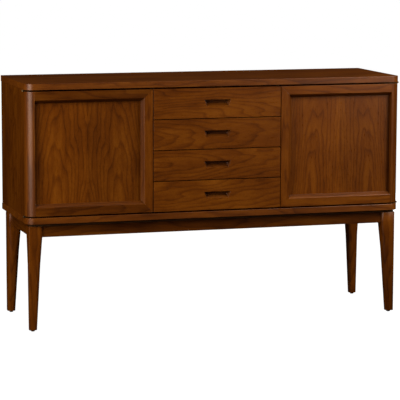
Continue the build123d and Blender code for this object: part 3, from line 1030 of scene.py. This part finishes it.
@dataclass
class Door:
    """A framed door: a rounded outer stile, a mitred inner stile and rails, and a veneered panel."""

    shop: Workshop
    hand: Hand
    outer_radius: float = 33.5 * MM
    round_steps: int = 20
    face_width: float = 33 * MM
    bevel_run: float = 12 * MM
    bevel_depth: float = 14.5 * MM
    # Painted shade on the inner stile's bevel, standing in for the shade in the recess.
    bevel_shade: float = 0.8
    edge: float = 0.7 * MM
    leaf_edge: float = 0.3 * MM
    strike_edge: float = 0.2 * MM

    @property
    def body(self) -> str:
        """The body that the door's pieces ride on."""
        return f"{self.hand.word}_door"

    def node(self, part: str) -> str:
        """Return the frame node of one of the door's parts."""
        return f"{self.hand.word}_door_{part}"

    def build(self) -> None:
        """Build and dress every piece of the door."""
        self.outer_stile()
        self.inner_stile()
        # Each rail's last number is the painted shade on its bevel.
        self.rail("top_rail", 1, self.hand.either(0.70, 1.10), 0.58)
        self.rail("bottom_rail", -1, self.hand.either(0.76, 1.0), self.hand.either(0.9, 0.75))
        self.panel()
        for part, name, width, finish in (
            ("hinge_leaves", "pivot_leaves", self.leaf_edge, BRASS),
            ("strikes", "strike_plates", self.strike_edge, STEEL),
        ):
            self.shop.stand_in(self.node(part), self.node(name), self.body, width, finish)

    def outer_stile(self) -> None:
        """Build the outer stile, its front corner rounded over."""
        low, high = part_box(self.node("outer_stile"))
        outer_x = self.hand.either(low.x, high.x)
        piece = block(self.node("corner_stile"), low, high)
        groove(piece, *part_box(self.node("panel")))
        round_over(
            piece,
            lambda edge: runs_along(edge, 2)
            and near(middle(edge).x, outer_x)
            and near(middle(edge).y, low.y),
            self.outer_radius, self.round_steps,
        )
        soften(piece, self.edge)
        # Painted shade: the outer stiles are darkened, the right one most, to offset how the side lamps light
        # their rounds.
        figure = Figure((0.05, 0.11), (0.0, 0.012), shade=self.hand.either(0.92, 0.78))
        finish = self.hand.either(BOARD_WALNUT, WALNUT)
        self.shop.fit(piece, self.body, finish, self.node("outer_stile"), figure=figure)

    def mitre(self, piece: Object, keep_stile: bool, level: float, upward: int) -> None:
        """Saw a mitre through the door's inner corner.

        Args:
            piece: The stile or rail to saw.
            keep_stile: Whether the stile's side of the cut is kept.
            level: The height of the door's end.
            upward: 1 at the door's top, -1 at its bottom.
        """
        low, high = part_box(self.node("inner_stile"))
        corner_x = self.hand.either(high.x, low.x)
        outward = Vector((self.hand.value, 0, upward))
        slice_off(piece, Vector((corner_x, low.y, level)), outward if keep_stile else -outward)

    def inner_stile(self) -> None:
        """Build the inner stile, bevelled towards the panel and mitred at both ends."""
        low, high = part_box(self.node("inner_stile"))
        sign = self.hand.value
        meeting_x = self.hand.either(high.x, low.x)
        piece = block(self.node("meeting_stile"), low, high)
        bevel_start = Vector((meeting_x + sign * self.face_width, low.y, 0))
        slice_off(piece, bevel_start, Vector((sign * self.bevel_depth, -self.bevel_run, 0)))
        groove(piece, *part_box(self.node("panel")))
        self.mitre(piece, True, high.z, 1)
        self.mitre(piece, True, low.z, -1)
        soften(piece, self.edge)
        figure = Figure((0.03, 0.13), (0.0, 0.01), face_y=low.y, hollow_shade=self.bevel_shade)
        self.shop.fit(piece, self.body, WALNUT, self.node("inner_stile"), figure=figure)

    def rail(self, part: str, upward: int, shade: float, hollow_shade: float) -> None:
        """Build a rail, bevelled towards the panel and mitred at its inner end.

        Args:
            part: The rail's name.
            upward: 1 for the top rail, -1 for the bottom one.
            shade: How light its board is.
            hollow_shade: How dark the painted shade on its bevel is.
        """
        low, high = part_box(self.node(part))
        end_z = high.z if upward > 0 else low.z
        piece = block(self.node(f"{part}_piece"), low, high)
        bevel_start = Vector((0, low.y, end_z - upward * self.face_width))
        slice_off(piece, bevel_start, Vector((0, -self.bevel_run, -upward * self.bevel_depth)))
        groove(piece, *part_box(self.node("panel")))
        self.mitre(piece, False, end_z, upward)
        soften(piece, self.edge)
        figure = Figure((0.03, 0.12), (0.0, 0.012), shade=shade, grain=Grain.ALONG_X)
        figure = replace(figure, face_y=low.y, hollow_shade=hollow_shade)
        self.shop.fit(piece, self.body, WALNUT, self.node(part), figure=figure)

    def panel(self) -> None:
        """Dress the panel in two leaves of veneer, opened like a book at its middle."""
        low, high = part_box(self.node("panel"))
        veneer = Veneer(seam_x=(low.x + high.x) / 2, frame_x=self.hand.either(low.x, high.x))
        figure = Figure((-0.118, 0.045), (0.03, 0.11), veneer=veneer)
        self.shop.dress(frame["nodes"][self.node("panel")], WALNUT, figure=figure)


@dataclass
class Drawer:
    """A drawer: a walnut front with a carved finger pull, and a maple box."""

    shop: Workshop
    number: int
    pull_top: float = 108 * MM
    pull_bottom: float = 90 * MM
    pull_height: float = 26 * MM
    pull_depth: float = 15 * MM
    pull_undercut: float = 5 * MM
    pull_floor_rise: float = 12 * MM
    pull_end_slope: float = 5 * MM
    pull_clear: float = 3 * MM
    # Painted shade inside the finger pull, standing in for the shade in its hollow.
    pull_shade: float = 0.55
    pith_step: float = 35 * MM
    middle_number: float = 2.5
    edge: float = 0.8 * MM
    box_edge: float = 0.7 * MM

    @property
    def body(self) -> str:
        """The body that the drawer's pieces ride on."""
        return f"drawer_{self.number}"

    def build(self) -> None:
        """Build and dress every piece of the drawer."""
        self.front()
        for part in ("left_side", "right_side", "back", "bottom"):
            node = f"{self.body}_{part}"
            figure = Figure(grain=Grain.ALONG_Y if part.endswith("side") else Grain.ALONG_X)
            self.shop.stand_in(node, f"{node}_board", self.body, self.box_edge, MAPLE, figure)

    def pull_cutter(self, middle_x: float, face_y: float, middle_z: float) -> Object:
        """Model the shape that is carved out for the fingers.

        Args:
            middle_x: The middle of the drawer front, across.
            face_y: The front's face.
            middle_z: The middle of the drawer front, up.

        Returns:
            The cutter, a wedge that starts in front of the face.
        """
        half = self.pull_height / 2
        low = Vector((middle_x - self.pull_bottom / 2, face_y, middle_z - half))
        high = Vector((middle_x + self.pull_bottom / 2, face_y + self.pull_depth, middle_z + half))
        cutter = block("pull_cutter", low, high)
        edit(cutter)
        pick(cutter, Element.EDGE, lambda edge: runs_along(edge, 0) and near(middle(edge).z, high.z))
        centre = (middle_x, face_y, middle_z)
        bpy.ops.transform.resize(value=(self.pull_top / self.pull_bottom, 1, 1), center_override=centre)
        pick(cutter, Element.FACE, lambda face: looks_along(face, 1, 1))
        narrow = 1 - 2 * self.pull_end_slope / self.pull_top
        bpy.ops.transform.resize(value=(narrow, 1, 1), center_override=centre)
        pick(cutter, Element.EDGE, lambda edge: near(middle(edge).y, high.y) and near(middle(edge).z, low.z))
        bpy.ops.transform.translate(value=(0, 0, self.pull_floor_rise))
        pick(cutter, Element.EDGE, lambda edge: near(middle(edge).y, high.y) and near(middle(edge).z, high.z))
        bpy.ops.transform.translate(value=(0, 0, self.pull_undercut))
        pick(cutter, Element.FACE, lambda face: looks_along(face, 1, -1))
        bpy.ops.mesh.extrude_region_move(TRANSFORM_OT_translate={"value": (0, -self.pull_clear, 0)})
        rest_bench()
        return cutter

    def front(self) -> None:
        """Build the drawer front with its finger pull."""
        node = f"{self.body}_front"
        low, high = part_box(node)
        piece = block(f"{self.body}_face", low, high)
        carve(piece, self.pull_cutter((low.x + high.x) / 2, low.y, (low.z + high.z) / 2))
        groove(piece, *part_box(f"{self.body}_bottom"))
        soften(piece, self.edge, segments=3)
        pith = (self.pith_step * (self.number - self.middle_number), 0.07)
        lean = (0.02, 0.05 + 0.01 * self.number)
        # The pull's hollow gets painted shade.
        figure = Figure(pith, lean, grain=Grain.ALONG_X, face_y=low.y, hollow_shade=self.pull_shade)
        self.shop.fit(piece, self.body, WALNUT, node, figure=figure)


@dataclass(frozen=True)
class LegSection:
    """A square section of a leg at one height, with three rounded corners."""

    level: float
    side: float
    rounding: float


@dataclass
class Base:
    """The stand: four tapered legs, their aprons, blocks, bolts and glides."""

    shop: Workshop
    head_side: float = 54 * MM
    head_round: float = 10 * MM
    waist_round: float = 20 * MM
    foot_round: float = 12 * MM
    waist_drop: float = 110 * MM
    arris: float = 2.5 * MM
    round_steps: int = 10
    edge: float = 0.8 * MM
    bolt_edge: float = 0.25 * MM
    glide_shank: float = 3 * MM
    glide_disc: float = 6 * MM
    glide_round: float = 2 * MM
    body: str = "cabinet"

    def build(self) -> None:
        """Build and dress every piece of the base."""
        self.legs()
        # The aprons are darker partly in tone and partly as painted shade under the bottom board's overhang.
        long_rail = Figure(lean=(0.0, 0.01), shade=0.68, grain=Grain.ALONG_X)
        short_rail = replace(long_rail, grain=Grain.ALONG_Y)
        for node, name, finish, figure in (
            ("front_apron", "front_apron_rail", WALNUT, long_rail),
            ("back_apron", "back_apron_rail", WALNUT, long_rail),
            ("left_apron", "left_apron_rail", WALNUT, short_rail),
            ("right_apron", "right_apron_rail", WALNUT, short_rail),
            ("corner_blocks", "glue_blocks", INSIDE_WALNUT, Figure(shade=0.4)),
            ("base_spacers", "spacer_strips", INSIDE_WALNUT, Figure(shade=0.4, grain=Grain.ALONG_X)),
        ):
            self.shop.stand_in(node, name, self.body, self.edge, finish, figure)
        self.shop.stand_in("leg_bolts", "hanger_bolts", self.body, self.bolt_edge, STEEL)
        self.glides()

    def sections(self) -> list[LegSection]:
        """Return the leg's sections from its head down to its foot."""
        low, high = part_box("front_left_leg")
        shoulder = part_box("front_apron")[0].z
        waist = shoulder - self.waist_drop
        fall = (shoulder - waist) / (shoulder - low.z)
        foot_side = self.foot_side()
        waist_side = self.head_side - (self.head_side - foot_side) * fall
        return [
            LegSection(high.z, self.head_side, self.head_round),
            LegSection(shoulder, self.head_side, self.head_round),
            LegSection(waist, waist_side, self.waist_round),
            LegSection(low.z, foot_side, self.foot_round),
        ]

    def section_ring(self, piece: Object, corner: Vector, section: LegSection) -> None:
        """Add one section's outline to the open leg.

        Args:
            piece: The leg that is open in edit mode.
            corner: The leg's outer corner, seen from above.
            section: The section to add.
        """
        half = section.side / 2
        place = (corner.x + half, corner.y + half, section.level)
        bpy.ops.mesh.primitive_plane_add(size=section.side, location=place)
        arris, rounding = self.arris, section.rounding
        for offset, outer in ((arris, True), (rounding, False)):
            pick(
                piece, Element.VERTEX,
                lambda vertex: near(vertex.co.z, section.level)
                and (math.hypot(vertex.co.x - corner.x, vertex.co.y - corner.y) < arris / 2) is outer
                and self._is_corner(vertex, corner, section.side),
            )
            bpy.ops.mesh.bevel(offset=offset, segments=self.round_steps, affect="VERTICES")

    @staticmethod
    def foot_side() -> float:
        """Return the side of a leg's square at its foot."""
        points = [vertex.co for vertex in frame["nodes"]["front_left_leg"].data.vertices]
        floor_level = min(point.z for point in points)
        foot = [point.x for point in points if near(point.z, floor_level)]
        return max(foot) - min(foot)

    @staticmethod
    def _is_corner(vertex: bmesh.types.BMVert, corner: Vector, side: float) -> bool:
        """Say whether a vertex is a corner of the full square."""
        across = (vertex.co.x - corner.x, vertex.co.y - corner.y)
        return all(near(value, 0.0) or near(value, side) for value in across)

    def legs(self) -> None:
        """Build one leg from its sections and mirror it to the other three corners."""
        low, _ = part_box("front_left_leg")
        corner = Vector((low.x, low.y))
        sections = self.sections()
        rest_bench()
        bpy.ops.object.add(type="MESH", location=(0, 0, 0))
        leg = bpy.context.object
        edit(leg)
        for section in sections:
            self.section_ring(leg, corner, section)
        bpy.ops.mesh.select_all(action="SELECT")
        bpy.ops.mesh.delete(type="ONLY_FACE")
        for upper, lower in zip(sections, sections[1:]):
            levels = (upper.level, lower.level)
            pick(leg, Element.EDGE, lambda edge: self._at_levels(edge, levels))
            bpy.ops.mesh.bridge_edge_loops()
        for section in (sections[0], sections[-1]):
            pick(leg, Element.EDGE, lambda edge: self._at_levels(edge, (section.level,)))
            bpy.ops.mesh.edge_face_add()
        face_outwards(leg)
        soften(leg, self.edge, angle=50)
        back = mirrored(leg, "back_left_leg_post", 1)
        leg.name = "front_left_leg_post"
        posts = {"front_left": leg, "back_left": back}
        posts["front_right"] = mirrored(leg, "front_right_leg_post", 0)
        posts["back_right"] = mirrored(back, "back_right_leg_post", 0)
        for place, post in posts.items():
            self.shop.fit(post, self.body, WALNUT, f"{place}_leg", figure=Figure((0.06, 0.1), (0.008, 0.012)))

    @staticmethod
    def _at_levels(edge: bmesh.types.BMEdge, levels: tuple[float, ...]) -> bool:
        """Say whether an edge lies flat at one of some heights."""
        first, second = (vertex.co.z for vertex in edge.verts)
        return near(first, second) and any(near(first, level) for level in levels)

    def glides(self) -> None:
        """Build the nylon glides under the feet, domed at their rims."""
        glides = []
        for low, high in solids_of("glides"):
            centre = Vector(((low.x + high.x) / 2, (low.y + high.y) / 2, low.z))
            disc = rod("glide", (high.x - low.x) / 2, centre, self.glide_disc, sides=40)
            round_over(disc, lambda edge: self._at_levels(edge, (low.z,)), self.glide_round, segments=6)
            shank_low = centre + Vector((0, 0, self.glide_disc))
            shank_length = high.z - low.z - self.glide_disc
            shank = rod("glide_shank", self.glide_shank, shank_low, shank_length, sides=20)
            glides += [disc, shank]
        piece = joined(glides, "foot_glides")
        smooth(piece)
        self.shop.fit(piece, self.body, NYLON, "glides")


@dataclass
class Hardware:
    """The case's hinge leaves, magnetic catches and drawer runners."""

    shop: Workshop
    leaf_edge: float = 0.3 * MM
    runner_edge: float = 0.8 * MM
    catch_edge: float = 0.8 * MM
    catch_rim: float = 2 * MM
    catch_mouth: float = 1.2 * MM
    pole_inset: float = 3.2 * MM
    pole_half: float = 0.6 * MM
    pole_reach: float = 3 * MM
    pole_edge: float = 0.2 * MM
    body: str = "cabinet"

    def build(self) -> None:
        """Build and dress every piece of hardware in the case."""
        self.shop.stand_in("hinge_case_leaves", "case_pivot_leaves", self.body, self.leaf_edge, BRASS)
        self.catches()
        runner = Figure(grain=Grain.ALONG_Y)
        self.shop.stand_in("drawer_runners", "maple_runners", self.body, self.runner_edge, MAPLE, runner)

    def catches(self) -> None:
        """Build the catch housings and the pole plates that show at their fronts."""
        rim = Vector((self.catch_rim, 0, self.catch_rim))
        housings, poles = [], []
        for low, high in solids_of("magnet_catches"):
            housing = block("catch", low, high)
            mouth_high = Vector((high.x, low.y + self.catch_mouth, high.z)) - rim
            groove(housing, low + rim - Vector((0, self.catch_mouth, 0)), mouth_high)
            soften(housing, self.catch_edge, segments=3)
            housings.append(housing)
            for z in (low.z + self.pole_inset, high.z - self.pole_inset):
                pole_low = Vector((low.x + rim.x, low.y, z - self.pole_half))
                pole_high = Vector((high.x - rim.x, low.y + self.pole_reach, z + self.pole_half))
                pole = block("pole", pole_low, pole_high)
                soften(pole, self.pole_edge)
                poles.append(pole)
        self.shop.fit(joined(housings, "catch_housings"), self.body, CATCH_PLASTIC, "magnet_catches")
        self.shop.fit(joined(poles, "catch_poles"), self.body, STEEL)


@dataclass(frozen=True)
class Softbox:
    """A rectangular studio light."""

    name: str
    place: tuple[float, float, float]
    aim: tuple[float, float, float]
    width: float
    height: float
    power: float
    shines: bool = True

    def build(self) -> None:
        """Hang the light and turn it to what it lights."""
        data = bpy.data.lights.new(self.name, "AREA")
        data.shape = "RECTANGLE"
        data.size, data.size_y = self.width, self.height
        data.energy = self.power
        lamp = bpy.data.objects.new(self.name, data)
        bpy.context.collection.objects.link(lamp)
        lamp.visible_camera = False
        lamp.visible_glossy = self.shines
        lamp.location = self.place
        lamp.rotation_euler = (Vector(self.aim) - Vector(self.place)).to_track_quat("-Z", "Y").to_euler()


@dataclass
class Studio:
    """The floor, the lights and the camera."""

    camera_place: tuple[float, float, float] = (-2.38267, -7.83076, 1.58909)
    yaw: float = 0.29402
    pitch: float = 0.13808
    roll: float = -0.00233
    lens: float = 185.19
    shift: tuple[float, float] = (0.0061, 0.0020)
    floor_size: float = 60.0
    floor_grey: float = 0.1
    dim_room: float = 0.015
    boxes: tuple[Softbox, ...] = (
        Softbox("left_softbox", (-2.80, -1.45, 2.0), (-0.6, -0.2, 0.65), 1.2, 1.8, 78.0),
        Softbox("left_low_softbox", (-2.45, -2.05, 0.9), (-0.6, -0.2, 0.65), 2.0, 1.2, 22.0),
        Softbox("right_softbox", (2.04, -1.54, 2.4), (0.7, -0.2, 0.65), 1.2, 1.2, 80.0),
        Softbox("front_softbox", (1.75, -1.9, 1.35), (0.9, -0.2, 0.75), 1.2, 1.0, 7.5),
        Softbox("back_softbox", (2.1, 3.2, 0.5), (0.0, 0.2, 0.55), 2.4, 0.8, 75.0, shines=False),
        Softbox("top_softbox", (0.0, 0.2, 3.4), (0.0, 0.0, 0.9), 2.4, 1.6, 6.0),
    )

    def build(self) -> None:
        """Set the room up."""
        self.floor()
        self.sky()
        for box in self.boxes:
            box.build()
        self.camera()

    def floor(self) -> None:
        """Lay a pale floor that lights nothing."""
        rest_bench()
        bpy.ops.mesh.primitive_plane_add(size=self.floor_size, location=(0, 0, 0))
        floor = bpy.context.object
        floor.name = "floor"
        floor.visible_diffuse = floor.visible_glossy = False
        sheet = NodeSheet(bpy.data.materials.new("pale_floor"))
        shade = sheet.add("BsdfDiffuse", {"Color": (self.floor_grey,) * 3 + (1,)})
        glow = sheet.add("Emission", {"Color": (1, 1, 1, 1), "Strength": 1.0})
        both = sheet.add("AddShader", {0: shade.outputs[0], 1: glow.outputs[0]})
        floor.data.materials.append(sheet.finish(both.outputs[0]))

    def sky(self) -> None:
        """Make the room pale behind the piece and dim all round it."""
        bpy.context.scene.world = world = bpy.data.worlds.new("studio")
        sheet = NodeSheet(world)
        rays = sheet.add("LightPath").outputs
        level = sheet.maths("MULTIPLY_ADD", rays["Is Diffuse Ray"], self.dim_room, rays["Is Camera Ray"])
        room = sheet.add("Background", {"Color": (1, 1, 1, 1), "Strength": level})
        sheet.add("OutputWorld", {"Surface": room.outputs[0]})
        bpy.context.scene.view_settings.view_transform = "Standard"

    def camera(self) -> None:
        """Stand the camera at the front, a little left of the middle and above the top."""
        data = bpy.data.cameras.new("camera")
        data.lens = self.lens
        data.sensor_width = 36.0
        data.shift_x, data.shift_y = self.shift
        data.clip_end = 200.0
        camera = bpy.data.objects.new("camera", data)
        bpy.context.collection.objects.link(camera)
        turn = Matrix.Rotation(-self.yaw, 4, "Z") @ Matrix.Rotation(math.pi / 2 - self.pitch, 4, "X")
        roll = Matrix.Rotation(-self.roll, 4, "Z")
        camera.matrix_world = Matrix.Translation(self.camera_place) @ turn @ roll
        bpy.context.scene.camera = camera


def main() -> None:
    """Build the studio and every sub-assembly."""
    shop = Workshop()
    Studio().build()
    Case(shop).build()
    for hand in Hand:
        Door(shop, hand).build()
    for number in range(1, 5):
        Drawer(shop, number).build()
    Base(shop).build()
    Hardware(shop).build()


if __name__ == "__main__":
    main()
